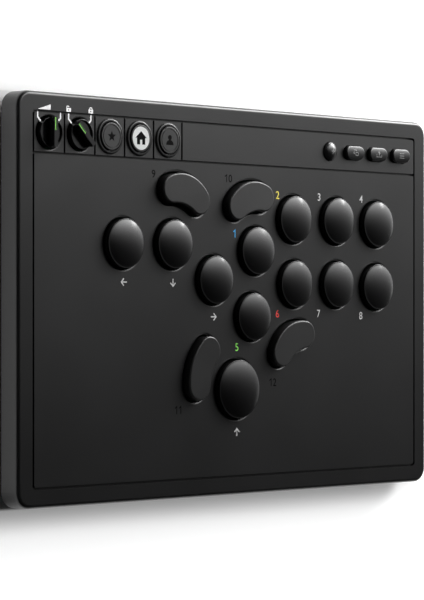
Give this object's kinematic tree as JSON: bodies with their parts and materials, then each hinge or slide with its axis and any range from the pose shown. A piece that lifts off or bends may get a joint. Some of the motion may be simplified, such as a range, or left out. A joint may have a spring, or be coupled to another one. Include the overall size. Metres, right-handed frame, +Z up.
{
  "type": "arcade button controller",
  "caption": "Low flat leverless arcade controller: a rounded rectangular case with domed round buttons, curved thumb and finger buttons, two turning knobs and a strip of small keys.",
  "frame": {"origin": "middle of the footprint on the surface the feet stand on", "axes": "+Z up out of the button face, +X to the player's right, +Y away from the player"},
  "size_m": [0.303, 0.2, 0.0223],
  "materials": {
    "case": "satin",
    "collar": "gloss",
    "foot": "matte",
    "screw": "satin",
    "board": "satin",
    "battery": "satin",
    "metal_shell": "satin",
    "jack": "gloss",
    "switch_body": "satin",
    "spring_steel": "bright",
    "round_cap": "satin gloss",
    "flat_cap": "satin",
    "stem": "satin",
    "small_button": "satin",
    "function_button": "gloss",
    "lens": "gloss",
    "knob": "gloss"
  },
  "bodies": {
    "case": {"frame": "case", "face_plate": "case", "control_strip": "case", "button_collars": "collar", "base_cover": "case", "rubber_feet": "foot", "case_screws": "screw", "main_board": "board", "strip_board": "board", "battery_pack": "battery", "usb_c_port": "metal_shell", "audio_jack": "jack", "switch_bases": "switch_body", "switch_covers": "switch_body", "switch_springs": "spring_steel", "rotary_bodies": "switch_body"},
    "left_button": {"left_cap": "round_cap", "left_stem": "stem"},
    "down_button": {"down_cap": "round_cap", "down_stem": "stem"},
    "right_button": {"right_cap": "round_cap", "right_stem": "stem"},
    "jump_button": {"jump_cap": "round_cap", "jump_stem": "stem"},
    "action_1_button": {"action_1_cap": "round_cap", "action_1_stem": "stem"},
    "action_2_button": {"action_2_cap": "round_cap", "action_2_stem": "stem"},
    "action_3_button": {"action_3_cap": "round_cap", "action_3_stem": "stem"},
    "action_4_button": {"action_4_cap": "round_cap", "action_4_stem": "stem"},
    "action_5_button": {"action_5_cap": "round_cap", "action_5_stem": "stem"},
    "action_6_button": {"action_6_cap": "round_cap", "action_6_stem": "stem"},
    "action_7_button": {"action_7_cap": "round_cap", "action_7_stem": "stem"},
    "action_8_button": {"action_8_cap": "round_cap", "action_8_stem": "stem"},
    "bean_1_button": {"bean_1_cap": "flat_cap", "bean_1_stem": "stem"},
    "bean_2_button": {"bean_2_cap": "flat_cap", "bean_2_stem": "stem"},
    "bean_3_button": {"bean_3_cap": "flat_cap", "bean_3_stem": "stem"},
    "bean_4_button": {"bean_4_cap": "flat_cap", "bean_4_stem": "stem"},
    "favourite_key": {"favourite_button": "small_button"},
    "home_key": {"home_button": "small_button", "home_lens": "lens"},
    "profile_key": {"profile_button": "small_button"},
    "turbo_key": {"turbo_button": "function_button"},
    "view_key": {"view_button": "function_button"},
    "share_key": {"share_button": "function_button"},
    "menu_key": {"menu_button": "function_button"},
    "volume_dial": {"volume_knob": "knob", "volume_shaft": "spring_steel"},
    "lock_dial": {"lock_knob": "knob", "lock_shaft": "spring_steel"}
  },
  "joints": [
    {"name": "left_press", "type": "slide", "parent": "case", "child": "left_button", "axis": [0, 0, -1], "range_m": [0, 0.003], "stiffness_N_per_m": 100, "springref_m": -0.0035},
    {"name": "down_press", "type": "slide", "parent": "case", "child": "down_button", "axis": [0, 0, -1], "range_m": [0, 0.003], "stiffness_N_per_m": 100, "springref_m": -0.0035},
    {"name": "right_press", "type": "slide", "parent": "case", "child": "right_button", "axis": [0, 0, -1], "range_m": [0, 0.003], "stiffness_N_per_m": 100, "springref_m": -0.0035},
    {"name": "jump_press", "type": "slide", "parent": "case", "child": "jump_button", "axis": [0, 0, -1], "range_m": [0, 0.003], "stiffness_N_per_m": 100, "springref_m": -0.0035},
    {"name": "action_1_press", "type": "slide", "parent": "case", "child": "action_1_button", "axis": [0, 0, -1], "range_m": [0, 0.003], "stiffness_N_per_m": 100, "springref_m": -0.0035},
    {"name": "action_2_press", "type": "slide", "parent": "case", "child": "action_2_button", "axis": [0, 0, -1], "range_m": [0, 0.003], "stiffness_N_per_m": 100, "springref_m": -0.0035},
    {"name": "action_3_press", "type": "slide", "parent": "case", "child": "action_3_button", "axis": [0, 0, -1], "range_m": [0, 0.003], "stiffness_N_per_m": 100, "springref_m": -0.0035},
    {"name": "action_4_press", "type": "slide", "parent": "case", "child": "action_4_button", "axis": [0, 0, -1], "range_m": [0, 0.003], "stiffness_N_per_m": 100, "springref_m": -0.0035},
    {"name": "action_5_press", "type": "slide", "parent": "case", "child": "action_5_button", "axis": [0, 0, -1], "range_m": [0, 0.003], "stiffness_N_per_m": 100, "springref_m": -0.0035},
    {"name": "action_6_press", "type": "slide", "parent": "case", "child": "action_6_button", "axis": [0, 0, -1], "range_m": [0, 0.003], "stiffness_N_per_m": 100, "springref_m": -0.0035},
    {"name": "action_7_press", "type": "slide", "parent": "case", "child": "action_7_button", "axis": [0, 0, -1], "range_m": [0, 0.003], "stiffness_N_per_m": 100, "springref_m": -0.0035},
    {"name": "action_8_press", "type": "slide", "parent": "case", "child": "action_8_button", "axis": [0, 0, -1], "range_m": [0, 0.003], "stiffness_N_per_m": 100, "springref_m": -0.0035},
    {"name": "bean_1_press", "type": "slide", "parent": "case", "child": "bean_1_button", "axis": [0, 0, -1], "range_m": [0, 0.003], "stiffness_N_per_m": 100, "springref_m": -0.0035},
    {"name": "bean_2_press", "type": "slide", "parent": "case", "child": "bean_2_button", "axis": [0, 0, -1], "range_m": [0, 0.003], "stiffness_N_per_m": 100, "springref_m": -0.0035},
    {"name": "bean_3_press", "type": "slide", "parent": "case", "child": "bean_3_button", "axis": [0, 0, -1], "range_m": [0, 0.003], "stiffness_N_per_m": 100, "springref_m": -0.0035},
    {"name": "bean_4_press", "type": "slide", "parent": "case", "child": "bean_4_button", "axis": [0, 0, -1], "range_m": [0, 0.003], "stiffness_N_per_m": 100, "springref_m": -0.0035},
    {"name": "favourite_press", "type": "slide", "parent": "case", "child": "favourite_key", "axis": [0, 0, -1], "range_m": [0, 0.0005], "stiffness_N_per_m": 400, "springref_m": -0.002},
    {"name": "home_press", "type": "slide", "parent": "case", "child": "home_key", "axis": [0, 0, -1], "range_m": [0, 0.0005], "stiffness_N_per_m": 400, "springref_m": -0.002},
    {"name": "profile_press", "type": "slide", "parent": "case", "child": "profile_key", "axis": [0, 0, -1], "range_m": [0, 0.0005], "stiffness_N_per_m": 400, "springref_m": -0.002},
    {"name": "turbo_press", "type": "slide", "parent": "case", "child": "turbo_key", "axis": [0, 0, -1], "range_m": [0, 0.0005], "stiffness_N_per_m": 400, "springref_m": -0.002},
    {"name": "view_press", "type": "slide", "parent": "case", "child": "view_key", "axis": [0, 0, -1], "range_m": [0, 0.0005], "stiffness_N_per_m": 400, "springref_m": -0.002},
    {"name": "share_press", "type": "slide", "parent": "case", "child": "share_key", "axis": [0, 0, -1], "range_m": [0, 0.0005], "stiffness_N_per_m": 400, "springref_m": -0.002},
    {"name": "menu_press", "type": "slide", "parent": "case", "child": "menu_key", "axis": [0, 0, -1], "range_m": [0, 0.0005], "stiffness_N_per_m": 400, "springref_m": -0.002},
    {"name": "volume_turn", "type": "hinge", "parent": "case", "child": "volume_dial", "pos_m": [-0.13135, 0.0805, 0.0168], "axis": [0, 0, 1], "range_deg": [-45, 45]},
    {"name": "lock_turn", "type": "hinge", "parent": "case", "child": "lock_dial", "pos_m": [-0.1113, 0.0805, 0.0168], "axis": [0, 0, 1], "range_deg": [-90, 0]}
  ]
}
